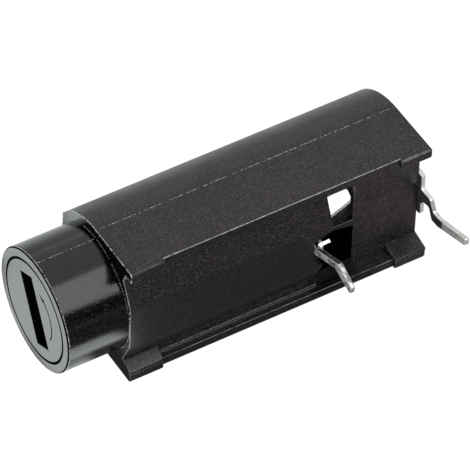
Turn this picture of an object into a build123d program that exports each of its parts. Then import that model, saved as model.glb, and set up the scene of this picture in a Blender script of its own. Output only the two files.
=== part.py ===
from build123d import *
import math
import os

# Panel fuse holder for a circuit board, in millimetres.
# X runs along the fuse axis to the rear, the board lies at -Y, and Z is up as it lies on one skirt.
# The origin is on the fuse axis, where the round neck leaves the housing's front shoulder.
# Depth is measured from the fuse axis towards the board, and height along Z.

# Walls and gaps outward from the fuse
fuse_radius = 2.6
clip_gap = 0.05
clip_wall = 0.4
clip_rim = 0.35
barrel_wall = 1.5
running_gap = 0.1
lug_height = 0.5
neck_wall = 0.95
shoulder_height = 1.05
flat_height = 1.15

# Lengths of the neck and the bores
neck_length = 6.45
neck_round = 0.12
head_bore_end = -0.6
flange_end = 1.2
track_length = 2.0
barrel_end = 9.5
barrel_end_gap = 0.7

# Housing shell
body_length = 32.3
pad_standoff = 0.15
skirt_wall = 1.0
skirt_setback = 0.43
front_pad_length = 3.6
rear_pad_length = 3.4
front_pad_ramp = 0.35
rear_pad_ramp = 0.2
ramp_rise = 0.3
channel_depth = 1.45
lip_height = 0.4
root_step = 0.4
root_run = 0.55
edge_round = 0.26
rear_round = 0.3

# Block between the skirts
block_height = 1.85
block_face_half = 2.55
mark_setback = 2.0
mark_z = 2.05
mark_radius = 0.4
mark_height = 0.12

# Rear chamber and the wall in front of it
rear_chamber_length = 7.2
rear_lip_length = 0.6
lip_gap = 0.3
chamber_ledge = 0.4
chamber_wall = 1.15

# Window between the block and the rear wall
window_length = 3.4
well_length = 4.3
well_bottom = -5.4
well_reach = 1.5
slot_length = 1.05
slot_bottom = -2.4
slot_low_run = 0.6
slot_top = 0.95
slot_slope = 0.385
sill_top = -0.25
sill_left_height = 0.2
sill_right_height = 0.85
pocket_step = 2.2
floor_wall = 0.3

# Carrier cap
driver_slot_length = 7.4
driver_slot_width = 2.1
driver_slot_depth = 3.0
driver_slot_turn = -24.7
core_wall = 2.2
core_start = 0.5
lug_width = 2.2
lug_length = 1.2
lug_front_gap = 0.35
lug_turn = 60.0

# Fuse clip in the cap
clip_bottom = 6.5
clip_length = 6.5
clip_slot_width = 0.6
clip_slot_length = 4.2

# Rear contact
cup_gap = 0.05
cup_length = 2.5
cup_wall = 0.3
spring_wire = 0.4
spring_turns = 5
spring_gap = 0.15

# Sheet metal terminals
sheet = 0.5
pin_height = 0.86
pin_tip = 12.55
pin_low_lift = 0.12
side_pin_gap = 0.1
side_pin_top = 0.24
side_kink_reach = 10.2
side_kink_rise = 1.5
side_tip_rise = 0.38
bar_inset = 0.05
web_inset = 0.35
finger_overlap = 1.8
finger_wall = 0.35
riser_inset = 0.65
riser_width = 0.8
bar_chamfer = 0.4
bar_slope = 0.85
blade_root = 3.85
blade_tilt = 39.0
blade_wall = 0.35
blade_gap = 0.25
blade_width = 2.0
blade_narrowing = 0.55
blade_corner = 0.22
edge_over_wall = 0.45
tab_half = 2.9
rear_pin_top = 0.4
rear_pin_bottom = -1.4
rear_tip_rise = 1.65
plate_margin = 0.4
stake_radius = 0.6
stake_margin = 1.2
stake_offset_z = 2.6
stake_edge = 0.9
stake_head = 0.25

# Corners of the rear pin beyond its plate's edge, as reach and height
rear_pin_upper = ((1.5, 0.4), (2.2, -0.78), (3.1, -0.78))
rear_pin_lower = ((0.1, -1.4), (0.45, -0.85), (1.42, -0.62), (2.0, -1.85), (3.05, -1.8))

# Rounds on the sheet metal
pin_round = 0.22
kink_round = 0.7
bend_round = 0.3
plate_round = 0.6

# Radii worked out from the fuse outward
clip_radius = fuse_radius + clip_gap + clip_wall
clip_bore_radius = clip_radius + clip_rim
barrel_radius = clip_radius + clip_gap + barrel_wall
barrel_bore_radius = barrel_radius + running_gap
head_radius = barrel_bore_radius + lug_height
head_bore_radius = head_radius + running_gap
neck_radius = head_bore_radius + neck_wall
back_radius = neck_radius + shoulder_height
back_flat = back_radius - flat_height
rear_lip_radius = fuse_radius + lip_gap
chamber_radius = rear_lip_radius + chamber_ledge

# Depths and heights worked out from those radii
wall_depth = chamber_radius + chamber_wall
block_face = wall_depth + block_height
board_plane = block_face + pad_standoff
outside = board_plane + 1
block_root = board_plane - channel_depth
inner_skirt = back_radius - skirt_wall
skirt_root = inner_skirt - root_step
block_root_height = skirt_root - root_run
finger_depth = clip_radius + clip_gap
finger_face = finger_depth + finger_wall
pocket_floor = finger_face + running_gap + floor_wall
bar_depth = block_face - bar_inset - sheet
side_pin_low = side_pin_top - pin_height
plate_edge = wall_depth + edge_over_wall
stake_offset_y = chamber_radius + stake_margin

# Places along the fuse axis worked out from both ends
barrel_bore_end = barrel_end + barrel_end_gap
window_end = body_length - rear_chamber_length
block_end = window_end - window_length
well_start = window_end - well_length
slot_start = well_start - slot_length
side_pin_start = slot_start + side_pin_gap
web_start = well_start - web_inset
web_end = web_start + sheet
riser_start = block_end + riser_inset
riser_end = riser_start + riser_width
chamber_start = window_end + rear_lip_length
cup_start = chamber_start + cup_gap


def section_solid(points, start, end):
    """Extrudes a cross-section, given as depth and height, from one X to another."""
    outline = [(-depth, height) for depth, height in points]
    face = make_face(Polyline(*outline, close=True))
    return extrude(Plane.YZ.offset(start) * face, amount=end - start)


def side_solid(points, depth_low, depth_high):
    """Extrudes an outline seen from the board side, given as X and height, between two depths."""
    face = make_face(Polyline(*points, close=True))
    return extrude(Plane.XZ.offset(depth_low) * face, amount=depth_high - depth_low)


def cylinder_x(radius, start, end):
    """A round bar on the fuse axis from one X to another."""
    return Plane.YZ.offset(start) * Cylinder(radius, end - start, align=(Align.CENTER, Align.CENTER, Align.MIN))


def block_x(start, end, depth_low, depth_high, low, high):
    """A rectangular block: X range, range of depth towards the board, and range of Z."""
    size = (end - start, depth_high - depth_low, high - low)
    centre = ((start + end) / 2, -(depth_low + depth_high) / 2, (low + high) / 2)
    return Pos(*centre) * Box(*size)


def mirrored(points):
    """The same cross-section points on the other side of the fuse axis."""
    return [(depth, -height) for depth, height in points]


def edges_at(shape, axis, position, tolerance=0.02):
    """Edges whose centre lies at one position along an axis."""
    return shape.edges().filter_by(lambda e: abs(getattr(e.center(), axis) - position) < tolerance)


def make_shell():
    """The D-shaped outside: round back with a flat, parallel skirts and stand-off pads."""
    far = 2 * back_radius
    round_back = cylinder_x(back_radius, 0, body_length)
    round_back -= block_x(-1, body_length + 1, -far, -back_flat, -far, far)
    round_back -= block_x(-1, body_length + 1, 0, far, -far, far)
    skirts = block_x(0, body_length, 0, board_plane, -back_radius, back_radius)
    shell = round_back + skirts
    rear_edges = edges_at(shell, "X", body_length).filter_by(lambda e: e.center().Y > 0.02 - board_plane)
    shell = fillet(rear_edges, rear_round)
    corners = shell.edges().filter_by(Axis.X)
    board_edges = corners.filter_by(lambda e: abs(e.center().Y + board_plane) < 0.02)
    return fillet(board_edges, edge_round)


def make_channels():
    """The open space on the board side, on both sides of the block between the skirts."""
    channel = [
        (outside, inner_skirt),
        (block_root + lip_height, inner_skirt),
        (block_root + lip_height, skirt_root),
        (block_root + lip_height / 2, skirt_root),
        (block_root, block_root_height),
        (block_face, block_face_half),
        (outside, block_face_half - 0.1),
    ]
    cut = block_x(-1, window_end + 0.01, block_face, outside, -block_face_half, block_face_half)
    for side in (lambda points: points, mirrored):
        cut += section_solid(side(channel), -1, window_end + 0.01)
    return cut


def make_pad_ramps():
    """The thicker roots of the two lower pads."""
    top = board_plane - 0.05
    front = [
        (block_root, -block_root_height),
        (block_root + ramp_rise, -block_root_height),
        (top, front_pad_ramp - inner_skirt),
        (top, -inner_skirt - 0.1),
        (block_root, -inner_skirt - 0.1),
    ]
    rear = [
        (wall_depth - 0.2, ramp_rise - skirt_root),
        (wall_depth, ramp_rise - skirt_root),
        (top, rear_pad_ramp - inner_skirt),
        (top, -inner_skirt - 0.1),
        (wall_depth - 0.2, -inner_skirt - 0.1),
    ]
    start = body_length - rear_pad_length
    return section_solid(front, 0, front_pad_length) + section_solid(rear, start, body_length)


def make_setback():
    """What is taken off the skirts' edges between the pads."""
    far = 2 * back_radius
    cut = block_x(front_pad_length, body_length - rear_pad_length, board_plane - skirt_setback, far, -far, far)
    return cut - block_x(0, body_length, 0, far, -skirt_root, skirt_root)


def make_rear_recess():
    """The open space in front of the flat rear wall."""
    return block_x(window_end, body_length + 1, wall_depth, outside, -inner_skirt, inner_skirt)


def make_window():
    """The side window: a pocket for the blade above, a deep well below and the pin's slot beside it."""
    pocket = block_x(block_end, window_end, pocket_floor, outside, sill_top, inner_skirt)
    pocket += block_x(block_end, window_end, finger_depth - running_gap, outside, pocket_step, inner_skirt)
    pocket += block_x(riser_start - running_gap, riser_end + running_gap, finger_depth - running_gap,
                      finger_face + running_gap, sill_top, pocket_step + 0.1)
    well = block_x(well_start, window_end, -well_reach, outside, well_bottom, sill_top)
    sill = [
        (block_end - 1, sill_top),
        (window_end + 0.1, sill_top),
        (window_end + 0.1, sill_top - sill_right_height),
        (block_end - 1, sill_top - sill_left_height),
    ]
    well -= side_solid(sill, pocket_floor - floor_wall, wall_depth)
    low_corner = block_x(well_start, window_end, wall_depth, outside, -inner_skirt, well_bottom + 0.1)
    well_top = slot_top + slot_slope * slot_length
    slot_end_top = slot_top + slot_slope * (block_end - slot_start)
    well += side_solid([
        (well_start, sill_top),
        (well_start, well_top),
        (block_end + 0.1, slot_end_top),
        (block_end + 0.1, sill_top),
    ], pocket_floor, outside)
    slot = [
        (slot_start, slot_top),
        (block_end + 0.1, slot_end_top),
        (block_end + 0.1, sill_top - 0.1),
        (well_start + 0.1, slot_bottom),
        (slot_start + slot_low_run, slot_bottom),
        (slot_start, side_pin_low - side_pin_gap),
    ]
    return pocket + well + low_corner + side_solid(slot, bar_depth - 0.15, outside)


def make_bores():
    """The bores on the fuse axis, from the neck to the open rear end."""
    bore = cylinder_x(head_bore_radius, -neck_length - 1, head_bore_end)
    bore += cylinder_x(barrel_bore_radius, head_bore_end - 0.1, barrel_bore_end)
    bore += cylinder_x(clip_bore_radius, barrel_bore_end - 0.1, window_end)
    bore += cylinder_x(rear_lip_radius, window_end - 0.1, chamber_start + 0.1)
    bore += cylinder_x(chamber_radius, chamber_start, body_length + 1)
    return bore


def lug_angles():
    """The two lug positions about the fuse axis, in degrees, in the unlocked rest pose."""
    return (driver_slot_turn, driver_slot_turn + 180)


def make_bayonet_track():
    """Two straight entries through the flange, each with a closed arc behind it for locking."""
    track = None
    half_width = lug_width / 2 + running_gap
    half_angle = math.degrees(math.asin(half_width / barrel_bore_radius))
    inner = barrel_bore_radius - lug_height
    for angle in lug_angles():
        entry = block_x(head_bore_end - 0.1, flange_end + 0.1, 0, head_bore_radius, -half_width, half_width)
        entry = Rot(angle, 0, 0) * entry
        entry &= cylinder_x(head_bore_radius, head_bore_end - 1, flange_end + 1)
        ring = Plane.XY * Rectangle(track_length, head_bore_radius - inner, align=(Align.MIN, Align.MIN))
        ring = Pos(flange_end, inner, 0) * ring
        arc = revolve(ring, axis=Axis.X, revolution_arc=lug_turn + 2 * half_angle + 2)
        arc = Rot(180 + angle - half_angle - 1, 0, 0) * arc
        piece = entry + arc
        track = piece if track is None else track + piece
    return track


def make_housing():
    """The one-piece moulded housing."""
    neck = cylinder_x(neck_radius, -neck_length, 0.1)
    neck = fillet(edges_at(neck, "X", -neck_length), neck_round)
    body = make_shell() - make_channels() - make_setback() - make_rear_recess() - make_window()
    body = body + make_pad_ramps() + neck
    body = body - make_bores() - make_bayonet_track()
    finger_low = side_pin_low - running_gap
    finger_high = side_pin_top + running_gap
    body -= block_x(barrel_bore_end + 0.6, riser_end + running_gap, fuse_radius, finger_face + running_gap,
                    finger_low, finger_high)
    body -= block_x(web_start - running_gap, web_end + running_gap, finger_depth, bar_depth,
                    finger_low, finger_high)
    mark = Cylinder(mark_radius, 1 + mark_height, align=(Align.CENTER, Align.CENTER, Align.MIN))
    body += Plane.XZ.offset(block_face - 1) * Pos(block_end - mark_setback, mark_z, 0) * mark
    for side in (-1, 1):
        post = cylinder_x(stake_radius - 0.05, body_length - 0.5, body_length + sheet + stake_head)
        body += Pos(0, stake_offset_y, side * stake_offset_z) * post
    return body


def make_carrier_cap():
    """The turning cap: slotted head, barrel with two bayonet lugs, and the seat of the fuse clip."""
    head = cylinder_x(head_radius, -neck_length, head_bore_end - 0.05)
    cap = head + cylinder_x(barrel_radius, head_bore_end - 0.1, barrel_end)
    slot = block_x(-neck_length - 1, -neck_length + driver_slot_depth, -driver_slot_width / 2,
                   driver_slot_width / 2, -driver_slot_length / 2, driver_slot_length / 2)
    cap -= Rot(driver_slot_turn, 0, 0) * slot
    lug_start = flange_end + lug_front_gap
    for angle in lug_angles():
        lug = block_x(lug_start, lug_start + lug_length, barrel_radius - 1, head_radius + 1,
                      -lug_width / 2, lug_width / 2)
        lug &= cylinder_x(head_radius, lug_start - 1, lug_start + lug_length + 1)
        cap += Rot(angle, 0, 0) * lug
    cap -= cylinder_x(clip_radius + clip_gap, clip_bottom - clip_gap, body_length)
    cap -= cylinder_x(clip_bore_radius + clip_gap, clip_bottom - clip_gap, clip_bottom + clip_wall + clip_gap)
    cap -= cylinder_x(barrel_radius - core_wall, core_start, clip_bottom)
    return cap


def make_fuse_clip():
    """The metal clip that grips the fuse's front cap: a slotted cup with a retaining rim."""
    end = clip_bottom + clip_length
    clip = cylinder_x(clip_radius, clip_bottom, end)
    clip += cylinder_x(clip_bore_radius, clip_bottom, clip_bottom + clip_wall)
    clip -= cylinder_x(clip_radius - clip_wall, clip_bottom + clip_wall, end + 1)
    for angle in (45, 135):
        slot = block_x(end - clip_slot_length, end + 1, -clip_radius - 1, clip_radius + 1,
                       -clip_slot_width / 2, clip_slot_width / 2)
        clip -= Rot(angle, 0, 0) * slot
    return clip


def pin_edges(solid, low, high):
    """Edges along the fuse axis whose depth lies between two values."""
    return solid.edges().filter_by(Axis.X).filter_by(lambda e: low < -e.center().Y < high)


def make_blade():
    """The contact blade in the window: a sheet tab that slopes down from its root towards the board."""
    start = block_end + running_gap
    end = window_end - blade_gap
    face = finger_depth + blade_width
    outline = [
        (start, -finger_depth),
        (end, -finger_depth),
        (end, blade_narrowing + blade_corner - face),
        (end - blade_corner, blade_narrowing - face),
        (start, -face),
    ]
    top = blade_root + 1
    plan = extrude(Plane.XY.offset(-top) * make_face(Polyline(*outline, close=True)), amount=2 * top)
    drop = blade_width * math.tan(math.radians(blade_tilt))
    thickness = blade_wall / math.cos(math.radians(blade_tilt))
    slope = [
        (finger_depth, blade_root),
        (face, blade_root - drop),
        (face, blade_root - drop - thickness),
        (finger_depth, blade_root - thickness),
    ]
    return plan & section_solid(slope, start, end)


def make_side_terminal():
    """The side terminal: finger on the fuse clip, web, bar, kinked pin, and a blade in the window."""
    top = side_pin_top
    low = side_pin_low
    rise = side_kink_rise
    outline = [
        (bar_depth, top),
        (bar_depth + sheet + 0.2, top),
        (side_kink_reach, top + rise),
        (pin_tip, top + side_tip_rise),
        (pin_tip - pin_low_lift, low + side_tip_rise),
        (side_kink_reach - sheet, low + rise - pin_low_lift),
        (bar_depth + sheet, low),
        (bar_depth, low),
    ]
    pin = section_solid(outline, side_pin_start, side_pin_start + sheet)
    pin = fillet(pin_edges(pin, pin_tip - 0.5, pin_tip + 1), pin_round)
    pin = fillet(pin_edges(pin, bar_depth + sheet + 0.3, pin_tip - 0.7), kink_round)
    bar_face = bar_depth + sheet
    bar = section_solid([
        (bar_depth, top),
        (bar_face - bar_chamfer, top),
        (bar_face, top - bar_chamfer * bar_slope),
        (bar_face, low),
        (bar_depth, low),
    ], side_pin_start + sheet / 2, web_end)
    web = block_x(web_start, web_end, finger_depth, bar_face - bar_chamfer, low, top)
    web += block_x(web_start, web_end, bar_depth, bar_face, low, top - bar_chamfer)
    finger = block_x(clip_bottom + clip_length - finger_overlap, riser_end, finger_depth, finger_face, low, top)
    riser = block_x(riser_start, riser_end, finger_depth, finger_face, low, blade_root - blade_wall)
    terminal = pin + bar + web + finger + riser + make_blade()
    corners = terminal.edges().filter_by(Axis.Z)
    outer_bend = corners.filter_by(
        lambda e: abs(-e.center().Y - bar_face) < 0.02 and abs(e.center().X - web_end) < 0.02)
    return fillet(outer_bend, sheet * 0.8)


def make_rear_terminal():
    """The rear terminal: a staked plate that closes the contact chamber, with a kinked pin."""
    end = body_length + sheet
    plate_half = chamber_radius + plate_margin
    plate = block_x(body_length, end, -stake_offset_y - stake_edge, plate_half, -plate_half, plate_half)
    plate = fillet(plate.edges().filter_by(Axis.X), plate_round)
    shoulder = wall_depth + plate_margin
    tab = section_solid([
        (0, tab_half),
        (wall_depth - plate_margin, tab_half),
        (shoulder, tab_half - 2 * plate_margin),
        (plate_edge, rear_pin_top),
        (plate_edge, rear_pin_bottom),
        (plate_edge + 0.05, plate_margin - tab_half),
        (shoulder, -tab_half),
        (0, -tab_half - 0.1),
    ], body_length, end)
    upper = [(plate_edge + reach, height) for reach, height in rear_pin_upper]
    lower = [(plate_edge + reach, height) for reach, height in rear_pin_lower]
    tip_low = rear_pin_lower[-1][1] + rear_tip_rise
    outline = [(wall_depth, rear_pin_top), *upper, (pin_tip, tip_low + pin_height), (pin_tip, tip_low)]
    outline += [*lower[::-1], (wall_depth, rear_pin_bottom)]
    terminal = plate + tab + section_solid(outline, body_length, end)
    terminal = fillet(pin_edges(terminal, pin_tip - 0.5, pin_tip + 1), pin_round)
    terminal = fillet(pin_edges(terminal, plate_edge + 0.3, pin_tip - 0.7), bend_round)
    for side in (-1, 1):
        hole = cylinder_x(stake_radius, body_length - 1, end + 1)
        terminal -= Pos(0, stake_offset_y, side * stake_offset_z) * hole
    return terminal


def make_contact_cup():
    """The sliding cup that presses on the fuse's rear cap."""
    outer = chamber_radius - running_gap
    cup = cylinder_x(outer, cup_start, cup_start + cup_length)
    cup -= cylinder_x(outer - cup_wall, cup_start + cup_wall, cup_start + cup_length + 1)
    return cup


def make_rear_spring():
    """The compression spring between the cup and the rear plate."""
    end_gap = spring_wire / 2 + 0.02
    start = cup_start + cup_wall + end_gap
    length = body_length - end_gap - start
    radius = chamber_radius - running_gap - cup_wall - spring_gap - spring_wire / 2
    path = Helix(length / spring_turns, length, radius)
    section = Plane(origin=path @ 0, z_dir=path % 0) * RegularPolygon(spring_wire / 2, 8)
    return Plane.YZ.offset(start) * sweep(section, path=path)


pieces = {
    "housing": make_housing(),
    "carrier_cap": make_carrier_cap(),
    "fuse_clip": make_fuse_clip(),
    "side_terminal": make_side_terminal(),
    "rear_terminal": make_rear_terminal(),
    "contact_cup": make_contact_cup(),
    "rear_spring": make_rear_spring(),
}

os.makedirs("parts", exist_ok=True)
for name, solid in pieces.items():
    export_step(solid, f"parts/{name}.step")
    print(name, round(solid.volume, 2), solid.bounding_box())
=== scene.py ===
import math

import bmesh
import bpy
from bpy.props import FloatProperty, FloatVectorProperty, IntProperty, PointerProperty
from bpy.types import Operator, Panel, PropertyGroup
from mathutils import Matrix, Vector


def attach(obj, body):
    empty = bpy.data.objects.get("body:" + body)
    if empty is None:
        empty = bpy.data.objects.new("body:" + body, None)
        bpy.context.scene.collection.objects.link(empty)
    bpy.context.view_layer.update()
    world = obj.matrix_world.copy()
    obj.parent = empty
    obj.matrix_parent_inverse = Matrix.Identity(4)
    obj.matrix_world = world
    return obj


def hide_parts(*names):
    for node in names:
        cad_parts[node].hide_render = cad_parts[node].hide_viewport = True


bl_info = {
    "name": "Fuse Holder Looks",
    "version": (1, 0, 0),
    "blender": (4, 5, 0),
    "location": "3D View > Sidebar > Fuse Holder",
    "description": "Finishes a panel fuse holder: moulded housing, turning cap, tinned terminals",
    "category": "Object",
}

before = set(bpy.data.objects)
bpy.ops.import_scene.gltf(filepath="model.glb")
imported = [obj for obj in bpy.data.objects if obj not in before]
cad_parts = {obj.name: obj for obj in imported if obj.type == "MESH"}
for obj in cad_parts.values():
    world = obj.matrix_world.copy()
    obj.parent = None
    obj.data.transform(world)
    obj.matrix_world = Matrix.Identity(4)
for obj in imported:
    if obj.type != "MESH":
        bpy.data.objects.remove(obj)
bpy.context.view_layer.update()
MM = 0.001

# Where things are on the holder, in millimetres
NECK_RADIUS = 6.25
NECK_FACE = -6.45
HEAD_BORE = 5.3
SLOT_REACH = 4.0
SLOT_BOTTOM = -3.45
BODY_TOP = 7.3
BODY_REAR = 32.3
FLOOR_LEVEL = -7.3
PIN_ROOT_Y = -6.25

# A range that takes in the whole holder, in millimetres
FAR = 99.0
ANY = (-FAR, FAR)

# Where the dark material of painted shade goes, in millimetres
FACE_SKIN = 0.004
NECK_RIM_DEPTH = 0.13
NECK_RIM_WIDTH = 0.11
HEAD_RIM_DEPTH = 0.15
HEAD_RIM_WIDTH = 0.3
GAP_DEPTH = 0.6
GAP_WIDTH = 0.1
SLOT_FLOOR_SKIN = 0.05
DARK_WELL = (((20.75, 25.15), (-6.2, FAR), (-5.5, -0.3)), ((25.0, 25.15), (-6.2, FAR), (-5.5, 2.5)))

# The skirts' slanted edges: where they are, how they face, and how strong the painted highlight on them and
# their pads is
SKIRT_X = (3.6, 28.7)
SKIRT_Y = -5.6
SKIRT_Z = 7.0
SKIRT_SLANT = (0.2, 0.97)
SKIRT_END_ON = 0.5
SKIRT_HIGHLIGHT = 1.6
PAD_HIGHLIGHT = 0.5
UPPER_FRONT_PAD_HIGHLIGHT = 0.1

# The window's sill, the part of it that faces the board, and how strong the painted highlight on that is
SILL = ((20.8, 25.1), ANY, (-1.2, -0.2))
SILL_FACING = 0.7
SILL_HIGHLIGHT = 0.8

# How strong the painted highlight on the housing's other rounded corners is: the first box that holds them
# counts
CHANNEL = ((3.7, 19.0), (-FAR, -4.4), (-6.4, -2.2))
NECK_END = ((-FAR, 0.2), ANY, ANY)
REAR_END = ((31.9, FAR), ANY, ANY)
LOWER_SIDE = (ANY, ANY, (-FAR, -6.9))
UPPER_SIDE = (ANY, ANY, (6.9, FAR))
WINDOW_REAR_EDGE = ((24.9, 25.3), (-7.0, -4.0), ANY)
WINDOW = ((19.0, 25.2), ANY, (-5.6, 5.6))
ELSEWHERE = (ANY, ANY, ANY)
CORNER_HIGHLIGHTS = ((CHANNEL, 0.7), (NECK_END, 0.5), (REAR_END, 0.5), (LOWER_SIDE, 0.5), (UPPER_SIDE, 0.5),
                 (WINDOW_REAR_EDGE, 0.3), (WINDOW, 0.03), (ELSEWHERE, 0.2))

# The shaded first arm of the side pin, and how steeply its shaded faces look up
SHADED_ARM = ((-FAR, 21.0), (-10.1, -5.8), ANY)
SHADED_ARM_FACING = 0.8

# Forms that the scene adds to the terminals, in millimetres
BAR_STRIP_X = (20.5, 21.65)
BAR_STRIP = ((5.87, 0.215), (6.12, 0.003), (6.055, -0.073), (5.805, 0.139))
SHOULDER_Y = -2.9
SHOULDER_RUN = 0.1
SHOULDER_TOP = 2.1

# The arrow: the steps of its arc, the angle of its head, and how many times the line's width the head has
ARROW_STEPS = 40
ARROW_HEAD_ANGLE = math.radians(16)
ARROW_HEAD_WIDTH = 3.2

# Crumbs along body and neck are mould flash; those round the rim and along the shoulder's edge are painted
# highlight
# The crumbs' paths along body, neck and rim, and the shoulder's edge that they follow, in millimetres
BODY_SEAM_X = (0.5, 16, BODY_REAR - 0.4)
NECK_SEAM_X = (NECK_FACE + 0.4, -3, -0.2)
RIM_HIGHLIGHT_X = NECK_FACE + 0.18
SHOULDER_DEPTH = 0.02
SHOULDER_LOW = -5.2
NECK_SLACK = 0.05

# The crumbs' steps round the rim, in degrees, and the scale of the patches where they are missing
RIM_STEP = 3
CRUMB_PATCH_SCALE = 900.0

# Small distances, in metres
JOIN_DISTANCE = 2e-6
BUMP_DEPTH = 0.00002
ARROW_LIFT = 0.00001
ARROW_THICKNESS = 0.00002
FLASH_SINK = 0.00001
FLOOR_GAP = 0.0001

# Boxes that get little light, each with its middle and half sizes in millimetres
PLATE_ROOT = ((32.27, -5.9, 0.0), (0.09, 2.8, 3.4))
SHADED_CORNERS = (((22.6, -4.6, -6.15), (2.7, 1.5, 0.75)), ((-0.6, -3.0, -6.9), (0.7, 3.3, 1.6)))

# Colours
FLECK = (0.107, 0.091, 0.097, 1)
# The pale edges' colour: partly wear, partly painted highlight
EDGE_WEAR_AND_HIGHLIGHT = (0.75, 0.75, 0.75, 1)
SHADED = (0.001, 0.0008, 0.001)
FLASH_AND_HIGHLIGHT_CRUMBS = (0.62, 0.62, 0.62)
HIGHLIGHT_TIN = (1.0, 0.99, 0.96, 1)
REFLECTION_DARK_TIN = (0.035, 0.034, 0.028, 1)
SHADE_TIN = (0.01, 0.01, 0.008, 1)

# Angles between faces: what counts as flat, as a corner and as smooth
FLAT_ANGLE = math.radians(0.4)
CORNER_ANGLE = math.radians(40)
SMOOTH_ANGLE = math.radians(28)

# What the neck's polish takes off the skin's colour, and the share of the rest that it leaves; the shoulder's
# front face gets this darkening too, as painted shade
POLISH_TAKES = (0.014, 0.0105, 0.012)
POLISH_LEAVES = 0.4

# The metal's patterns: scales of the blotches and of the drawn lines, and where the dark streaks of painted
# reflection set in
BLOTCH_SCALE = 1400.0
DRAWN_SCALE = (3600.0, 1400.0, 3600.0)
STREAKED_Y = (-5.2, -6.4)

# Where each patch of the floor's light fades in, from and to in millimetres
FLOOR_FADES = {
    "behind": (14.5, 20.0), "rear": (26.5, 30.0), "front": (-6.6, -7.6), "side": (-2.7, -3.7),
    "near": (-7.8, -9.2), "near end": (-15.5, -14.5), "near left": (3.0, 1.4),
    "under": (-1.6, -2.8), "under end": (-10.0, -8.5), "under left": (-1.4, -2.8),
}

# The lit corner beyond the neck, in millimetres, and the slant of the front patch's side
FLOOR_CORNER = (-4.8, 13.2)
FLOOR_SLANT = 1.58

# The floor's half width, in metres, and the colours of floor and sky
FLOOR_REACH = 6.0
FLOOR_GREY = (0.08, 0.08, 0.08, 1)
BOARD_TINT = (1.0, 0.86, 0.95, 1)
LIT_TINT = (0.93, 1.0, 0.965, 1)
SKY_TINT = (1.0, 0.82, 0.87, 1)

# The softboxes: name, direction, distance and size in metres, the setting with its brightness, and colour
SOFTBOXES = (
    ("top softbox", (0.366, 0.349, 0.863), 0.60, (0.55, 0.94), "top_box", (1.0, 0.94, 1.0)),
    ("neck softbox", (0.366, -0.600, 0.711), 0.45, (0.25, 0.37), "neck_box", (0.93, 0.97, 1.0)),
    ("rear softbox", (0.366, 0.898, 0.241), 0.60, (0.60, 0.32), "rear_box", (0.93, 1.0, 0.96)),
    ("front softbox", (-0.75, -0.55, 0.35), 0.50, (0.25, 0.25), "front_box", (1.0, 1.0, 1.0)),
)


# Settings


class PlasticSettings(PropertyGroup):
    """The black moulding compound."""

    colour: FloatVectorProperty(
        name="Colour", description="Colour of the moulding compound", subtype="COLOR", size=3,
        min=0, max=1, default=(0.003, 0.0022, 0.0026))
    roughness: FloatProperty(
        name="Roughness", description="How dull the moulded skin is", default=0.36, min=0, max=1)
    polished: FloatProperty(
        name="Polished", description="How dull the polished neck and cap are", default=0.16, min=0, max=1)
    grain_size: FloatProperty(
        name="Grain size", description="Size of the fine grain in the skin", default=0.00015,
        unit="LENGTH", precision=6)
    edge_width: FloatProperty(
        name="Edge width", description="Width of the soft edges of the moulding", default=0.00006,
        unit="LENGTH", precision=6)
    # The pale edges are partly wear and partly painted highlight
    edge_shine: FloatProperty(
        name="Edge shine", description="How light the worn edges are", default=0.5, min=0, max=1)


class MetalSettings(PropertyGroup):
    """The tinned sheet metal."""

    colour: FloatVectorProperty(
        name="Colour", description="Colour of the tin plating", subtype="COLOR", size=3,
        min=0, max=1, default=(0.93, 0.92, 0.88))
    roughness: FloatProperty(
        name="Roughness", description="How dull the plating is", default=0.2, min=0, max=1)
    plating: FloatProperty(
        name="Plating", description="Share of the light that the plating mirrors", default=0.48, min=0, max=1)
    edge_width: FloatProperty(
        name="Edge width", description="Width of the rounded sheared edges", default=0.00008,
        unit="LENGTH", precision=6)


class FlashAndHighlightSettings(PropertyGroup):
    """Crumbs of the thin line left where the two mould halves met, and of painted highlight on the neck's rim
    and shoulder.
    """

    width: FloatProperty(
        name="Width", description="Width of the parting line", default=0.00009, unit="LENGTH", precision=6)
    step: FloatProperty(
        name="Step", description="Distance between crumbs along the line", default=0.00012,
        unit="LENGTH", precision=6)
    gaps: FloatProperty(
        name="Gaps", description="Share of the line that is worn away", default=0.31, min=0, max=1)
    seed: IntProperty(name="Seed", description="Changes where the crumbs fall", default=4)


class ArrowSettings(PropertyGroup):
    """The curved arrow on the cap's face."""

    radius: FloatProperty(
        name="Radius", description="Radius of the arrow's arc", default=0.0032, unit="LENGTH", precision=5)
    width: FloatProperty(
        name="Line width", description="Width of the arrow's line", default=0.00014,
        unit="LENGTH", precision=6)
    start: FloatProperty(
        name="Start", description="Where the arc starts", default=math.radians(-22), unit="ROTATION")
    end: FloatProperty(
        name="End", description="Where the arrow's head starts", default=math.radians(58), unit="ROTATION")


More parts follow.
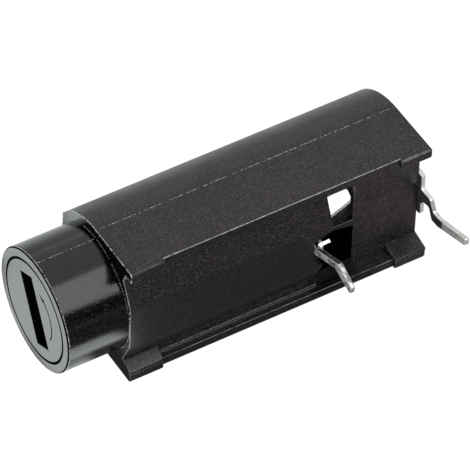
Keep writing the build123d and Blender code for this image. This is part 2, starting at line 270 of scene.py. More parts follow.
class StageSettings(PropertyGroup):
    """Floor, lights and camera."""

    floor_white: FloatProperty(
        name="Floor light", description="How bright the pale floor looks", default=1.02, min=0, max=4)
    floor_front: FloatProperty(
        name="Floor in front", description="Light that the floor before the cap sends back", default=1.75)
    floor_near: FloatProperty(
        name="Floor by the neck", description="Light that the floor beside the neck sends back", default=2.6)
    floor_behind: FloatProperty(
        name="Floor behind", description="Light that the floor behind the body sends back", default=0.85)
    floor_board: FloatProperty(
        name="Floor on the board side", description="Light that the shaded floor sends back", default=0.08)
    floor_under: FloatProperty(
        name="Floor under the neck", description="Light that the floor below the neck sends back",
        default=0.9)
    floor_rear: FloatProperty(
        name="Floor by the rear wall", description="Light that the floor beside the rear wall sends back",
        default=0.30)
    sky: FloatProperty(name="Sky", description="Light from all round", default=0.05, min=0, max=4)
    top_box: FloatProperty(
        name="Top softbox", description="Brightness of the upper softbox", default=0.85)
    neck_box: FloatProperty(
        name="Neck softbox", description="Brightness of the long softbox", default=2.85)
    rear_box: FloatProperty(
        name="Rear softbox", description="Brightness of the low softbox behind", default=0.6)
    front_box: FloatProperty(
        name="Front softbox", description="Brightness of the softbox in front", default=6.0)
    azimuth: FloatProperty(
        name="Azimuth", description="Side the camera stands on",
        default=math.radians(-32.4394), unit="ROTATION")
    elevation: FloatProperty(
        name="Elevation", description="Height of the camera over the holder",
        default=math.radians(46.8446), unit="ROTATION")
    roll: FloatProperty(
        name="Roll", description="Tilt of the picture", default=math.radians(2.1059), unit="ROTATION")
    distance: FloatProperty(
        name="Distance", description="From the camera to the holder", default=0.4945, unit="LENGTH")
    lens: FloatProperty(name="Lens", description="Focal length of the camera, mm", default=407.42)
    aim: FloatVectorProperty(
        name="Aim", description="The point that the camera looks at", subtype="TRANSLATION", size=3,
        default=(0.014557, -0.000685, -0.000327))


class HolderSettings(PropertyGroup):
    """All settings of the fuse holder."""

    plastic: PointerProperty(type=PlasticSettings)
    metal: PointerProperty(type=MetalSettings)
    flash: PointerProperty(type=FlashAndHighlightSettings)
    arrow: PointerProperty(type=ArrowSettings)
    stage: PointerProperty(type=StageSettings)


def settings():
    return bpy.context.scene.fuse_holder


# Node helpers


def add(tree, kind, inputs=None, **attributes):
    """Adds a node, sets its attributes, and gives each named or numbered input a value or a link."""
    node = tree.nodes.new(kind)
    for name, value in attributes.items():
        setattr(node, name, value)
    for key, value in (inputs or {}).items():
        socket = node.inputs[key]
        if isinstance(value, bpy.types.NodeSocket):
            tree.links.new(value, socket)
        else:
            socket.default_value = value
    return node


def math_node(tree, operation, a, b, clamp=False):
    return add(tree, "ShaderNodeMath", {0: a, 1: b}, operation=operation, use_clamp=clamp).outputs[0]


def vector_node(tree, operation, inputs):
    return add(tree, "ShaderNodeVectorMath", inputs, operation=operation).outputs[0]


def mapped(tree, value, start, end, low=0.0, high=1.0, curve="LINEAR"):
    """A value's place between start and end, held at both, as a number from low to high."""
    return add(tree, "ShaderNodeMapRange", {"Value": value, 1: start, 2: end, 3: low, 4: high},
               interpolation_type=curve).outputs[0]


def mixed(tree, share, a, b):
    """A mix of two numbers."""
    return add(tree, "ShaderNodeMix", {0: share, 2: a, 3: b}).outputs[0]


def mixed_colour(tree, share, a, b):
    """A mix of two colours."""
    return add(tree, "ShaderNodeMix", {0: share, 6: a, 7: b}, data_type="RGBA").outputs[2]


def noise(tree, where, scale, detail=2.0, roughness=0.5):
    inputs = {"Vector": where, "Scale": scale, "Detail": detail, "Roughness": roughness}
    return add(tree, "ShaderNodeTexNoise", inputs).outputs["Fac"]


def object_place(tree):
    return add(tree, "ShaderNodeTexCoord").outputs["Object"]


def split(tree, vector):
    return add(tree, "ShaderNodeSeparateXYZ", {0: vector}).outputs


def edge_mask(tree):
    return add(tree, "ShaderNodeAttribute", attribute_name="edge").outputs["Fac"]


def group(name, inputs, outputs):
    """An empty shader node group with named sockets, its inputs, and its output node's sockets."""
    tree = bpy.data.node_groups.new(name, "ShaderNodeTree")
    for label, kind, default in inputs:
        tree.interface.new_socket(label, in_out="INPUT", socket_type=kind).default_value = default
    for label, kind in outputs:
        tree.interface.new_socket(label, in_out="OUTPUT", socket_type=kind)
    return tree, tree.nodes.new("NodeGroupInput").outputs, tree.nodes.new("NodeGroupOutput").inputs


# Shared effects


def moulded_skin_group():
    """Fine grain, faint flow marks and pale specks of a moulded plastic skin."""
    tree, given, out = group(
        "Moulded Skin",
        [("Grain Size", "NodeSocketFloat", 0.00016), ("Colour", "NodeSocketColor", (0, 0, 0, 1)),
         ("Fleck Colour", "NodeSocketColor", (0.1, 0.1, 0.1, 1)), ("Roughness", "NodeSocketFloat", 0.4)],
        [("Colour", "NodeSocketColor"), ("Roughness", "NodeSocketFloat"), ("Height", "NodeSocketFloat")])
    where = object_place(tree)
    grain = noise(tree, where, math_node(tree, "DIVIDE", 1.0, given["Grain Size"]), 2.0, 0.6)
    slow = noise(tree, where, 260.0, 4.0, 0.6)
    flecks = mapped(tree, grain, 0.495, 0.75)
    wave = mapped(tree, slow, 0.3, 0.7, -0.05, 0.06)
    tree.links.new(mixed_colour(tree, flecks, given["Colour"], given["Fleck Colour"]), out["Colour"])
    tree.links.new(math_node(tree, "ADD", given["Roughness"], wave, clamp=True), out["Roughness"])
    tree.links.new(grain, out["Height"])
    return tree


def edge_wear_and_highlight_group():
    """Pale edges, partly wear and partly painted highlight, broken up, from the edge mask kept on the mesh.
    """
    tree, given, out = group(
        "Edge Wear And Highlight",
        [("Amount", "NodeSocketFloat", 0.5), ("Breakup Size", "NodeSocketFloat", 0.0006)],
        [("Mask", "NodeSocketFloat")])
    breakup = noise(tree, object_place(tree), math_node(tree, "DIVIDE", 1.0, given["Breakup Size"]))
    worn = math_node(tree, "MULTIPLY", edge_mask(tree), mapped(tree, breakup, 0.35, 0.65, 0.25, 1.0))
    tree.links.new(math_node(tree, "MULTIPLY", worn, given["Amount"]), out["Mask"])
    return tree


def tinned_sheet_group():
    """Faint rolling lines, plating blotches and fine scratches of tinned sheet, most of them on the pins,
    whose strong dark and bright streaks are painted reflection.
    """
    tree, given, out = group(
        "Tinned Sheet",
        [("Colour", "NodeSocketColor", (0.8, 0.8, 0.8, 1)), ("Roughness", "NodeSocketFloat", 0.25),
         ("Streaks", "NodeSocketFloat", 0.8)],
        [("Colour", "NodeSocketColor"), ("Roughness", "NodeSocketFloat"), ("Height", "NodeSocketFloat")])
    where = object_place(tree)
    blotch = noise(tree, where, BLOTCH_SCALE, 4.0, 0.6)
    drawn = add(tree, "ShaderNodeMapping", {"Vector": where, "Scale": DRAWN_SCALE}).outputs[0]
    scratch = noise(tree, drawn, 1.0)
    tone = mapped(tree, blotch, 0.35, 0.7)
    streak = mapped(tree, scratch, 0.42, 0.53)
    start, end = STREAKED_Y
    # Towards the pins outside the body the dark share grows: painted reflection in dark and bright streaks
    streaked = mapped(tree, split(tree, where)[1], start * MM, end * MM, 0.12, given["Streaks"])
    dark = mixed_colour(tree, streaked, given["Colour"], REFLECTION_DARK_TIN)
    bright = math_node(tree, "MAXIMUM", math_node(tree, "MULTIPLY", tone, 0.4), streak)
    dull = mapped(tree, blotch, 0.3, 0.7, 0.12, -0.06)
    height = math_node(tree, "ADD", math_node(tree, "MULTIPLY", blotch, 0.6),
                       math_node(tree, "MULTIPLY", scratch, 0.4))
    tree.links.new(mixed_colour(tree, bright, dark, given["Colour"]), out["Colour"])
    tree.links.new(math_node(tree, "ADD", given["Roughness"], dull, clamp=True), out["Roughness"])
    tree.links.new(height, out["Height"])
    return tree


def polished_neck_and_shoulder_shade_group():
    """Smooths the skin and thins its flecks in front of a plane across the axis: the polished neck. The plane
    lies just behind the shoulder's front face, which so gets the darker colour too, as painted shade.
    """
    tree, given, out = group(
        "Polished Neck And Shoulder Shade",
        [("Roughness", "NodeSocketFloat", 0.36), ("Polished", "NodeSocketFloat", 0.2),
         ("Colour", "NodeSocketColor", (0, 0, 0, 1)), ("Plane", "NodeSocketFloat", 0.00002)],
        [("Roughness", "NodeSocketFloat"), ("Colour", "NodeSocketColor")])
    ahead = math_node(tree, "LESS_THAN", split(tree, object_place(tree))[0], given["Plane"])
    above = vector_node(tree, "SUBTRACT", {0: given["Colour"], 1: POLISH_TAKES})
    kept = vector_node(tree, "MAXIMUM", {0: above, 1: (0.0, 0.0, 0.0)})
    sparse = vector_node(tree, "SCALE", {0: kept, 3: POLISH_LEAVES})
    tree.links.new(mixed(tree, ahead, given["Roughness"], given["Polished"]), out["Roughness"])
    tree.links.new(mixed_colour(tree, ahead, given["Colour"], sparse), out["Colour"])
    return tree


def shaded_box_group():
    """Darkens the colour inside a box, where a deep corner gets no light."""
    tree, given, out = group(
        "Shaded Box",
        [("Colour", "NodeSocketColor", (0, 0, 0, 1)), ("Middle", "NodeSocketVector", (0, 0, 0)),
         ("Half", "NodeSocketVector", (0.001, 0.001, 0.001)), ("Shade", "NodeSocketFloat", 0.1)],
        [("Colour", "NodeSocketColor")])
    away = vector_node(tree, "SUBTRACT", {0: object_place(tree), 1: given["Middle"]})
    size = vector_node(tree, "ABSOLUTE", {0: away})
    x, y, z = split(tree, vector_node(tree, "DIVIDE", {0: size, 1: given["Half"]}))
    widest = math_node(tree, "MAXIMUM", math_node(tree, "MAXIMUM", x, y), z)
    mask = mapped(tree, widest, 1.06, 0.94)
    level = mixed(tree, mask, 1.0, given["Shade"])
    tree.links.new(vector_node(tree, "SCALE", {0: given["Colour"], 3: level}), out["Colour"])
    return tree


EFFECTS = {
    "Moulded Skin": moulded_skin_group,
    "Edge Wear And Highlight": edge_wear_and_highlight_group,
    "Tinned Sheet": tinned_sheet_group,
    "Polished Neck And Shoulder Shade": polished_neck_and_shoulder_shade_group,
    "Shaded Box": shaded_box_group,
}


def effect(tree, name, inputs):
    """Adds a shared effect to a material and fills its inputs."""
    shared = bpy.data.node_groups.get(name) or EFFECTS[name]()
    node = add(tree, "ShaderNodeGroup", node_tree=shared)
    for label, value in inputs.items():
        if isinstance(value, bpy.types.NodeSocket):
            tree.links.new(value, node.inputs[label])
        else:
            node.inputs[label].default_value = value
    return node.outputs


# Materials


def new_material(name):
    """A material with one shader, or the one already made under this name and nothing to fill in."""
    found = bpy.data.materials.get(name)
    if found:
        return found, None, None
    material = bpy.data.materials.new(name)
    material.use_nodes = True
    tree = material.node_tree
    tree.nodes.clear()
    shader = tree.nodes.new("ShaderNodeBsdfPrincipled")
    output = tree.nodes.new("ShaderNodeOutputMaterial")
    tree.links.new(shader.outputs[0], output.inputs[0])
    return material, tree, shader


def shaded_colour(tree, colour, box):
    """Darkens a colour inside a box given by its middle and half sizes in millimetres."""
    middle, half = ([value * MM for value in values] for values in box)
    return effect(tree, "Shaded Box", {"Colour": colour, "Middle": middle, "Half": half})["Colour"]


def connect(tree, shader, colour, roughness, height, bump):
    """Links a finished colour, roughness and bump height to the shader."""
    bumps = add(tree, "ShaderNodeBump", {"Strength": bump, "Distance": BUMP_DEPTH, "Height": height})
    tree.links.new(colour, shader.inputs["Base Color"])
    tree.links.new(roughness, shader.inputs["Roughness"])
    tree.links.new(bumps.outputs[0], shader.inputs["Normal"])


def plastic_material(name, roughness_shift=0.0, worn=True):
    """Black moulded plastic with a fine grain, painted shade in its deep corners and, where asked, pale edges
    of wear and painted highlight.
    """
    material, tree, shader = new_material(name)
    if tree is None:
        return material
    given = settings().plastic
    skin = effect(tree, "Moulded Skin", {
        "Grain Size": given.grain_size, "Colour": (*given.colour, 1), "Fleck Colour": FLECK,
        "Roughness": given.roughness + roughness_shift})
    # The darker colour also falls on the shoulder's front face, as painted shade
    neck = effect(tree, "Polished Neck And Shoulder Shade", {
        "Polished": given.polished, "Roughness": skin["Roughness"], "Colour": skin["Colour"]})
    colour = neck["Colour"]
    for box in SHADED_CORNERS:
        colour = shaded_colour(tree, colour, box)
    if worn:
        # Pale edges: partly wear, partly painted highlight
        mask = effect(tree, "Edge Wear And Highlight", {"Amount": given.edge_shine})["Mask"]
        colour = mixed_colour(tree, mask, colour, EDGE_WEAR_AND_HIGHLIGHT)
    connect(tree, shader, colour, neck["Roughness"], skin["Height"], 0.35)
    shader.inputs["IOR"].default_value = 1.52
    return material


def plain_material(name, colour, roughness, specular):
    """One flat colour: for the painted shade of the insides and for the crumbs of flash and painted
    highlight.
    """
    material, tree, shader = new_material(name)
    if tree is None:
        return material
    shader.inputs["Base Color"].default_value = (*colour, 1)
    shader.inputs["Roughness"].default_value = roughness
    shader.inputs["Specular IOR Level"].default_value = specular
    return material


def metal_material(name, roughness_shift=0.0, streaks=0.93, shaded=False):
    """Tin-plated sheet metal: painted highlight on its edges, painted shade where its edge mask is below
    nought.
    """
    material, tree, shader = new_material(name)
    if tree is None:
        return material
    given = settings().metal
    sheet = effect(tree, "Tinned Sheet", {
        "Colour": (*given.colour, 1), "Roughness": given.roughness + roughness_shift, "Streaks": streaks})
    mask = edge_mask(tree)
    # Painted highlight on rounded corners outside the body, painted shade on the side pin's first arm
    highlight_share = math_node(tree, "MULTIPLY", mask, 1.0, clamp=True)
    shade_share = math_node(tree, "MULTIPLY", mask, -0.85, clamp=True)
    colour = mixed_colour(tree, highlight_share, sheet["Colour"], HIGHLIGHT_TIN)
    colour = mixed_colour(tree, shade_share, colour, SHADE_TIN)
    if shaded:
        colour = shaded_colour(tree, colour, PLATE_ROOT)
    connect(tree, shader, colour, sheet["Roughness"], sheet["Height"], 0.25)
    shader.inputs["Metallic"].default_value = given.plating
    return material


# Mesh helpers


def finish_piece(piece, body, nodes=()):
    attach(piece, body)
    if nodes:
        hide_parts(*nodes)


def new_object(name, data):
    piece = bpy.data.objects.new(name, data)
    bpy.context.scene.collection.objects.link(piece)
    return piece


def within(place, box):
    """Whether a place lies inside a box, given as the lowest and highest x, y and z."""
    return all(low < value < high for value, (low, high) in zip(place, box))


def shade_inside(piece, inside):
    """Gives the faces whose middle lies inside the asked place the dark material of painted shade."""
    mesh = piece.data
    mesh.materials.append(plain_material("shaded moulding", SHADED, 0.7, 0.02))
    for face in mesh.polygons:
        if inside(face.center / MM):
            face.material_index = len(mesh.materials) - 1


def even_edge_strength(place, normal, corner):
    """The mask of a piece whose rounded corners are all alike."""
    return corner


def housing_edge_strength(place, normal, corner):
    """How strong the painted highlight on the housing's edge is at a place: strong along the skirts, faint
    inside the window.
    """
    x, y, z = place
    slanted = SKIRT_SLANT[0] < abs(normal.y) < SKIRT_SLANT[1] and abs(normal.x) < SKIRT_END_ON
    if abs(z) > SKIRT_Z and y < SKIRT_Y and slanted:
        if SKIRT_X[0] < x < SKIRT_X[1]:
            return SKIRT_HIGHLIGHT
        return UPPER_FRONT_PAD_HIGHLIGHT if z > 0 and x <= SKIRT_X[0] else PAD_HIGHLIGHT
    if within(place, SILL) and normal.y < -SILL_FACING:
        return SILL_HIGHLIGHT
    if corner:
        return next(light for box, light in CORNER_HIGHLIGHTS if within(place, box))
    return 0.0


def pin_edge_strength(place, normal, corner):
    """How strong the metal's painted highlight is on rounded corners outside the body: below nought, painted
    shade on the side pin's arm.
    """
    if corner:
        return 1.0 if place.y < PIN_ROOT_Y else 0.0
    return -1.0 if within(place, SHADED_ARM) and normal.z > SHADED_ARM_FACING else 0.0


def softened_copy(node, name, width, strength=even_edge_strength):
    """A joined copy of a node's mesh whose outer corners are rounded, with the edge mask on its faces."""
    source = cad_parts[node]
    bm = bmesh.new()
    bm.from_mesh(source.data)
    bmesh.ops.remove_doubles(bm, verts=bm.verts, dist=JOIN_DISTANCE)
    bmesh.ops.dissolve_limit(bm, angle_limit=FLAT_ANGLE, verts=bm.verts, edges=bm.edges)
    bmesh.ops.recalc_face_normals(bm, faces=bm.faces)
    corners = [e for e in bm.edges
               if len(e.link_faces) == 2 and e.is_convex and e.calc_face_angle() > CORNER_ANGLE]
    mask = bm.faces.layers.float.new("edge")
    made = bmesh.ops.bevel(bm, geom=corners, offset=width, offset_type="OFFSET", segments=2, profile=0.5,
                           affect="EDGES", clamp_overlap=False)
    rounded = set(made["faces"])
    bm.normal_update()
    for face in bm.faces:
        face[mask] = strength(face.calc_center_median() / MM, face.normal, float(face in rounded))
        face.smooth = True
    mesh = bpy.data.meshes.new(name)
    bm.to_mesh(mesh)
    bm.free()
    mesh.set_sharp_from_angle(angle=SMOOTH_ANGLE)
    piece = new_object(name, mesh)
    weighted = piece.modifiers.new("Even shading", "WEIGHTED_NORMAL")
    weighted.keep_sharp = True
    return piece


def inside_housing(place):
    """Whether a place lies in the deep half of the window, in the gap round the cap or on the neck's rim."""
    x, y, z = place
    out = math.hypot(y, z)
    on_rim = x < NECK_FACE + NECK_RIM_DEPTH and out > NECK_RADIUS - NECK_RIM_WIDTH
    in_gap = NECK_FACE + FACE_SKIN < x < NECK_FACE + GAP_DEPTH and out < HEAD_BORE + GAP_WIDTH
    return on_rim or in_gap or any(within(place, box) for box in DARK_WELL)


def inside_cap(place):
    """Whether a place lies in the screwdriver slot or on the rim of the cap's head."""
    x, y, z = place
    out = math.hypot(y, z)
    in_slot = out < SLOT_REACH and x < SLOT_BOTTOM + SLOT_FLOOR_SKIN
    on_rim = out > HEAD_BORE - HEAD_RIM_WIDTH and x < NECK_FACE + HEAD_RIM_DEPTH
    return x > NECK_FACE + FACE_SKIN and (in_slot or on_rim)


def sharp_edges(node, test):
    """The points and edges of the sharp corners of a node's mesh that pass the test."""
    bm = bmesh.new()
    bm.from_mesh(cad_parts[node].data)
    bmesh.ops.remove_doubles(bm, verts=bm.verts, dist=JOIN_DISTANCE)
    points, edges = [], []
    for edge in bm.edges:
        if len(edge.link_faces) == 2 and edge.calc_face_angle() > CORNER_ANGLE:
            ends = [v.co.copy() for v in edge.verts]
            if all(test(end / MM) for end in ends):
                edges.append((len(points), len(points) + 1))
                points.extend(ends)
    bm.free()
    return points, edges


def lower_shoulder(piece):
    """Slopes the rear plate's upper edge down towards the board, as far as it shows beside the body."""
    bm = bmesh.new()
    bm.from_mesh(piece.data)
    bmesh.ops.bisect_plane(bm, geom=bm.verts[:] + bm.edges[:] + bm.faces[:],
                           plane_co=(0, SHOULDER_Y * MM, 0), plane_no=(0, 1, 0))
    for vertex in bm.verts:
        if vertex.co.y < (SHOULDER_Y - SHOULDER_RUN) * MM and vertex.co.z > SHOULDER_TOP * MM:
            vertex.co.z = SHOULDER_TOP * MM
    bm.to_mesh(piece.data)
    bm.free()


def bright_bar(piece):
    """Carries the bar's slanted upper edge on into the well as a bright strip."""
    bm = bmesh.new()
    bm.from_mesh(piece.data)
    start, end = ([bm.verts.new((x * MM, -out * MM, up * MM)) for out, up in BAR_STRIP] for x in BAR_STRIP_X)
    count = len(BAR_STRIP)
    made = [bm.faces.new([start[i], end[i], end[(i + 1) % count], start[(i + 1) % count]])
            for i in range(count)]
    made += [bm.faces.new(start), bm.faces.new(end[::-1])]
    bmesh.ops.recalc_face_normals(bm, faces=made)
    bm.to_mesh(piece.data)
    bm.free()


# Crumbs of flash and painted highlight in geometry nodes


def flash_and_highlight_crumbs_tree():
    """Crumbs that follow a path, for mould flash and painted highlight: width, step, share of gaps and seed
    are inputs.
    """
    tree = bpy.data.node_groups.new("Flash And Highlight Crumbs", "GeometryNodeTree")
    face = tree.interface
    face.new_socket("Geometry", in_out="INPUT", socket_type="NodeSocketGeometry")
    for label, kind, default in (("Width", "NodeSocketFloat", 0.0001), ("Step", "NodeSocketFloat", 0.0001),
                                 ("Gaps", "NodeSocketFloat", 0.3), ("Seed", "NodeSocketInt", 0)):
        face.new_socket(label, in_out="INPUT", socket_type=kind).default_value = default
    face.new_socket("Material", in_out="INPUT", socket_type="NodeSocketMaterial")
    face.new_socket("Geometry", in_out="OUTPUT", socket_type="NodeSocketGeometry")
    given = tree.nodes.new("NodeGroupInput").outputs
    out = tree.nodes.new("NodeGroupOutput").inputs
    where = add(tree, "GeometryNodeInputPosition").outputs[0]
    drawn = {"ID": add(tree, "GeometryNodeInputIndex").outputs[0], "Seed": given["Seed"]}

    path = add(tree, "GeometryNodeMeshToCurve", {"Mesh": given["Geometry"]}).outputs[0]
    even = add(tree, "GeometryNodeResampleCurve", {"Curve": path, "Length": given["Step"]}, mode="LENGTH")
    points = add(tree, "GeometryNodeCurveToPoints", {"Curve": even.outputs[0]}, mode="EVALUATED").outputs[0]

    patches = math_node(tree, "MULTIPLY", noise(tree, where, CRUMB_PATCH_SCALE), 0.8)
    chance = add(tree, "FunctionNodeRandomValue", drawn, data_type="FLOAT").outputs[1]
    level = math_node(tree, "ADD", patches, math_node(tree, "MULTIPLY", chance, 0.2))
    limit = math_node(tree, "ADD", 0.30, math_node(tree, "MULTIPLY", given["Gaps"], 0.4))
    gone = add(tree, "FunctionNodeCompare", {0: level, 1: limit}, data_type="FLOAT", operation="LESS_THAN")
    kept = add(tree, "GeometryNodeDeleteGeometry", {"Geometry": points, "Selection": gone.outputs[0]},
               domain="POINT").outputs[0]

    crumb = add(tree, "GeometryNodeMeshIcoSphere", {"Radius": 0.5, "Subdivisions": 1}).outputs[0]
    size = add(tree, "FunctionNodeRandomValue", {**drawn, 2: 0.6, 3: 1.25}, data_type="FLOAT").outputs[1]
    wide = math_node(tree, "MULTIPLY", size, given["Width"])
    sizes = {0: math_node(tree, "MULTIPLY", wide, 1.5), 1: wide, 2: math_node(tree, "MULTIPLY", wide, 0.5)}
    spread = add(tree, "ShaderNodeCombineXYZ", sizes).outputs[0]
    placed = add(tree, "GeometryNodeInstanceOnPoints", {"Points": kept, "Instance": crumb, "Scale": spread})
    solid = add(tree, "GeometryNodeRealizeInstances", {"Geometry": placed.outputs[0]}).outputs[0]
    coated = add(tree, "GeometryNodeSetMaterial", {"Geometry": solid, "Material": given["Material"]})
    tree.links.new(coated.outputs[0], out[0])
    return tree


def run_tree(piece, tree, values):
    """Puts a geometry nodes tree on a piece, fills its inputs, and turns the result into a plain mesh."""
    modifier = piece.modifiers.new(tree.name, "NODES")
    modifier.node_group = tree
    for item in tree.interface.items_tree:
        if item.item_type == "SOCKET" and item.in_out == "INPUT" and item.name in values:
            modifier[item.identifier] = values[item.name]
    graph = bpy.context.evaluated_depsgraph_get()
    plain = bpy.data.meshes.new_from_object(piece.evaluated_get(graph))
    piece.modifiers.remove(modifier)
    piece.data = plain


# Operators


class FUSEHOLDER_OT_stage(Operator):
    """Makes the pale floor, the soft studio light and the camera"""

    bl_idname = "fuse_holder.stage"
    bl_label = "Stage"

    def execute(self, context):
        given = settings().stage
        scene = context.scene
        scene.view_settings.view_transform = "Standard"
        self.camera(scene, given)
        self.floor(given)
        self.lights(scene, given)
        return {"FINISHED"}

    def camera(self, scene, given):
        data = bpy.data.cameras.new("Camera")
        data.sensor_width = 36
        data.lens = given.lens
        data.clip_start, data.clip_end = 0.01, 20
        camera = new_object("Camera", data)
        a, e, r = given.azimuth, given.elevation, given.roll
        back = Vector((math.sin(a) * math.cos(e), -math.cos(a) * math.cos(e), math.sin(e)))
        right = (-back).cross(Vector((0, 0, 1))).normalized()
        up = right.cross(-back)
        turned_right = right * math.cos(r) + up * math.sin(r)
        turned_up = up * math.cos(r) - right * math.sin(r)
        turn = Matrix((turned_right, turned_up, back)).transposed().to_4x4()
        camera.matrix_world = Matrix.Translation(Vector(given.aim) + back * given.distance) @ turn
        scene.camera = camera

    def floor(self, given):
        mesh = bpy.data.meshes.new("floor")
        reach, level = FLOOR_REACH, FLOOR_LEVEL * MM - FLOOR_GAP
        corners = [(x * reach, y * reach, level) for x, y in ((-1, -1), (1, -1), (1, 1), (-1, 1))]
        mesh.from_pydata(corners, [], [(0, 1, 2, 3)])
        floor = new_object("floor", mesh)
        material, tree, shader = new_material("pale floor")
        shader.inputs["Base Color"].default_value = FLOOR_GREY
        shader.inputs["Roughness"].default_value = 0.9
        shader.inputs["Specular IOR Level"].default_value = 0.0
        strength, colour = self.floor_light(tree, given)
        tree.links.new(colour, shader.inputs["Emission Color"])
        tree.links.new(strength, shader.inputs["Emission Strength"])
        mesh.materials.append(material)

    def floor_light(self, tree, given):
        """The floor's light, evenly pale where the camera sees it and different by place in reflections."""
        x, y = split(tree, object_place(tree))[:2]

        def fade(value, name, curve="LINEAR"):
            start, end = FLOOR_FADES[name]
            return mapped(tree, value, start * MM, end * MM, curve=curve)

        def all_of(first, *others):
            for other in others:
                first = math_node(tree, "MULTIPLY", first, other)
            return first

        def any_of(first, *others):
            for other in others:
                first = math_node(tree, "MAXIMUM", first, other)
            return first

        behind = fade(y, "behind")
        slanted = math_node(tree, "ADD", y, math_node(tree, "MULTIPLY", x, FLOOR_SLANT))
        corner = all_of(math_node(tree, "LESS_THAN", x, FLOOR_CORNER[0] * MM),
                        math_node(tree, "GREATER_THAN", y, FLOOR_CORNER[1] * MM))
        ahead = any_of(corner, all_of(fade(x, "front", "SMOOTHSTEP"), fade(slanted, "side")))
        near = all_of(fade(y, "near"), fade(x, "near left"), fade(y, "near end"))
        under = all_of(fade(y, "under"), fade(x, "under left"), fade(y, "under end"))

        sent = mixed(tree, fade(x, "rear"), given.floor_board, given.floor_rear)
        for share, light in ((behind, given.floor_behind), (under, given.floor_under),
                             (near, given.floor_near), (ahead, given.floor_front)):
            sent = mixed(tree, share, sent, light)
        tint = mixed_colour(tree, any_of(ahead, near, under, behind), BOARD_TINT, LIT_TINT)
        seen = add(tree, "ShaderNodeLightPath").outputs["Is Camera Ray"]
        return mixed(tree, seen, sent, given.floor_white), mixed_colour(tree, seen, tint, (1, 1, 1, 1))

    def lights(self, scene, given):
        world = bpy.data.worlds.new("studio")
        scene.world = world
        world.use_nodes = True
        background = world.node_tree.nodes["Background"]
        background.inputs["Color"].default_value = SKY_TINT
        background.inputs["Strength"].default_value = given.sky
        for name, direction, distance, size, brightness, tint in SOFTBOXES:
            data = bpy.data.lights.new(name, "AREA")
            data.shape = "RECTANGLE"
            data.size, data.size_y = size
            data.energy = getattr(given, brightness) * math.pi * size[0] * size[1]
            data.color = tint
            lamp = new_object(name, data)
            away = Vector(direction).normalized()
            along = Vector((1, 0, 0)) - away * away.x
            turn = Matrix((along.normalized(), away.cross(along.normalized()), away)).transposed().to_4x4()
            lamp.matrix_world = Matrix.Translation(away * distance) @ turn


class FUSEHOLDER_OT_housing(Operator):
    """Finishes the one-piece moulded housing with soft edges, pale from wear and painted highlight"""

    bl_idname = "fuse_holder.housing"
    bl_label = "Housing"

    def execute(self, context):
        piece = softened_copy("housing", "moulded_housing", settings().plastic.edge_width,
                              strength=housing_edge_strength)
        piece.data.materials.clear()
        piece.data.materials.append(plastic_material("black moulding"))
        shade_inside(piece, inside_housing)
        finish_piece(piece, "body", ["housing"])
        return {"FINISHED"}


class FUSEHOLDER_OT_cap(Operator):
    """Finishes the slotted turning cap"""

    bl_idname = "fuse_holder.cap"
    bl_label = "Turning cap"

    def execute(self, context):
        piece = softened_copy("carrier_cap", "slotted_cap", settings().plastic.edge_width * 2)
        piece.data.materials.clear()
        piece.data.materials.append(plastic_material("cap moulding", roughness_shift=0.06))
        shade_inside(piece, inside_cap)
        finish_piece(piece, "cap", ["carrier_cap"])
        return {"FINISHED"}


class FUSEHOLDER_OT_arrow(Operator):
    """Draws the plain curved arrow on the cap's face"""

    bl_idname = "fuse_holder.arrow"
    bl_label = "Turning arrow"

    def execute(self, context):
        given = settings().arrow
        radius, half, x = given.radius, given.width / 2, NECK_FACE * MM - ARROW_LIFT
        bm = bmesh.new()

        def point(r, angle):
            return bm.verts.new((x, -r * math.cos(angle), r * math.sin(angle)))

        rows = []
        for i in range(ARROW_STEPS + 1):
            angle = given.start + (given.end - given.start) * i / ARROW_STEPS
            rows.append((point(radius - half, angle), point(radius + half, angle)))
        for (a, b), (c, d) in zip(rows, rows[1:]):
            bm.faces.new((a, b, d, c))
        tip = point(radius, given.end + ARROW_HEAD_ANGLE)
        wide = ARROW_HEAD_WIDTH * half
        bm.faces.new((point(radius - wide, given.end), point(radius + wide, given.end), tip))
        # The faces have no normals yet, so this gives them backs, and the arrow stays flat
        bmesh.ops.solidify(bm, geom=bm.faces[:], thickness=ARROW_THICKNESS)
        bmesh.ops.recalc_face_normals(bm, faces=bm.faces)
        mesh = bpy.data.meshes.new("turning_arrow")
        bm.to_mesh(mesh)
        bm.free()
        piece = new_object("turning_arrow", mesh)
        mesh.materials.append(plastic_material("arrow line", roughness_shift=0.35, worn=False))
        finish_piece(piece, "cap")
        return {"FINISHED"}


class FUSEHOLDER_OT_terminals(Operator):
    """Finishes the stamped terminals, the fuse clip, the cup and the spring"""

    bl_idname = "fuse_holder.terminals"
    bl_label = "Metal parts"

    def execute(self, context):
        width = settings().metal.edge_width
        tinned = metal_material("tinned sheet")
        plate = metal_material("tinned plate", streaks=0.35, shaded=True)
        for node, name, sheet, add_form in (("side_terminal", "side_contact", tinned, bright_bar),
                                            ("rear_terminal", "rear_contact", plate, lower_shoulder)):
            piece = softened_copy(node, name, width, strength=pin_edge_strength)
            piece.data.materials.clear()
            piece.data.materials.append(sheet)
            add_form(piece)
            finish_piece(piece, "body", [node])
        for node, name, roughness_shift in (("fuse_clip", "drawn clip", 0.05),
                                            ("contact_cup", "drawn cup", 0.02),
                                            ("rear_spring", "spring wire", -0.04)):
            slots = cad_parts[node].data.materials
            for i in range(len(slots)):
                slots[i] = metal_material(name, roughness_shift)
        return {"FINISHED"}


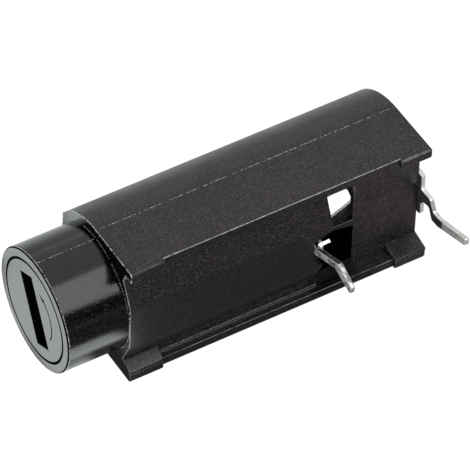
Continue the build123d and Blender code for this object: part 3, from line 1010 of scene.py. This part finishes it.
class FUSEHOLDER_OT_flash_and_highlight_crumbs(Operator):
    """Lays crumbs of mould flash along the parting line, and of painted highlight round the neck's rim and
    shoulder
    """

    bl_idname = "fuse_holder.parting_line"
    bl_label = "Flash and highlight crumbs"

    def on_shoulder(self, place):
        out = math.hypot(place.y, place.z)
        return abs(place.x) < SHOULDER_DEPTH and out > NECK_RADIUS - NECK_SLACK and place.z > SHOULDER_LOW

    def crumb_paths(self):
        """The paths of the crumbs: mould flash above and below along the body and the neck, painted highlight
        round the neck's rim.
        """
        paths = []
        for side in (1, -1):
            for radius, run in ((BODY_TOP, BODY_SEAM_X), (NECK_RADIUS, NECK_SEAM_X)):
                paths.append([(x * MM, 0, side * (radius * MM - FLASH_SINK)) for x in run])
        ring = [math.radians(RIM_STEP * i) for i in range(360 // RIM_STEP + 1)]
        rim_x, rim = RIM_HIGHLIGHT_X * MM, NECK_RADIUS * MM
        paths.append([(rim_x, -rim * math.sin(a), rim * math.cos(a)) for a in ring])
        return paths

    def execute(self, context):
        given = settings().flash
        points, edges = [], []
        for path in self.crumb_paths():
            edges += [(len(points) + i, len(points) + i + 1) for i in range(len(path) - 1)]
            points += path
        # The shoulder's edge gets crumbs of painted highlight
        more_points, more_edges = sharp_edges("housing", self.on_shoulder)
        edges += [(a + len(points), b + len(points)) for a, b in more_edges]
        points += more_points
        mesh = bpy.data.meshes.new("parting_line")
        mesh.from_pydata(points, edges, [])
        piece = new_object("parting_line", mesh)
        crumbs = plain_material("flash and highlight crumbs", FLASH_AND_HIGHLIGHT_CRUMBS, 0.5, 0.5)
        run_tree(piece, flash_and_highlight_crumbs_tree(), {"Width": given.width, "Step": given.step, "Gaps": given.gaps,
                                              "Seed": given.seed, "Material": crumbs})
        finish_piece(piece, "body")
        return {"FINISHED"}


class FUSEHOLDER_PT_panel(Panel):
    """Lists the steps that finish the fuse holder"""

    bl_idname = "FUSEHOLDER_PT_panel"
    bl_label = "Fuse Holder"
    bl_space_type = "VIEW_3D"
    bl_region_type = "UI"
    bl_category = "Fuse Holder"

    def draw(self, context):
        for group_name, group_settings in (("Plastic", settings().plastic), ("Metal", settings().metal),
                                           ("Flash and highlight crumbs", settings().flash), ("Arrow", settings().arrow),
                                           ("Stage", settings().stage)):
            box = self.layout.box()
            box.label(text=group_name)
            for name in group_settings.__annotations__:
                box.prop(group_settings, name)
        for step in STEPS:
            self.layout.operator(step.bl_idname)


STEPS = (FUSEHOLDER_OT_stage, FUSEHOLDER_OT_housing, FUSEHOLDER_OT_cap, FUSEHOLDER_OT_arrow,
         FUSEHOLDER_OT_terminals, FUSEHOLDER_OT_flash_and_highlight_crumbs)
CLASSES = (PlasticSettings, MetalSettings, FlashAndHighlightSettings, ArrowSettings, StageSettings, HolderSettings,
           *STEPS, FUSEHOLDER_PT_panel)


def register():
    for made in CLASSES:
        bpy.utils.register_class(made)
    bpy.types.Scene.fuse_holder = PointerProperty(type=HolderSettings)


def unregister():
    del bpy.types.Scene.fuse_holder
    for made in reversed(CLASSES):
        bpy.utils.unregister_class(made)


def main():
    register()
    bpy.ops.fuse_holder.stage()
    bpy.ops.fuse_holder.housing()
    bpy.ops.fuse_holder.cap()
    bpy.ops.fuse_holder.arrow()
    bpy.ops.fuse_holder.terminals()
    bpy.ops.fuse_holder.parting_line()


if __name__ == "__main__":
    main()
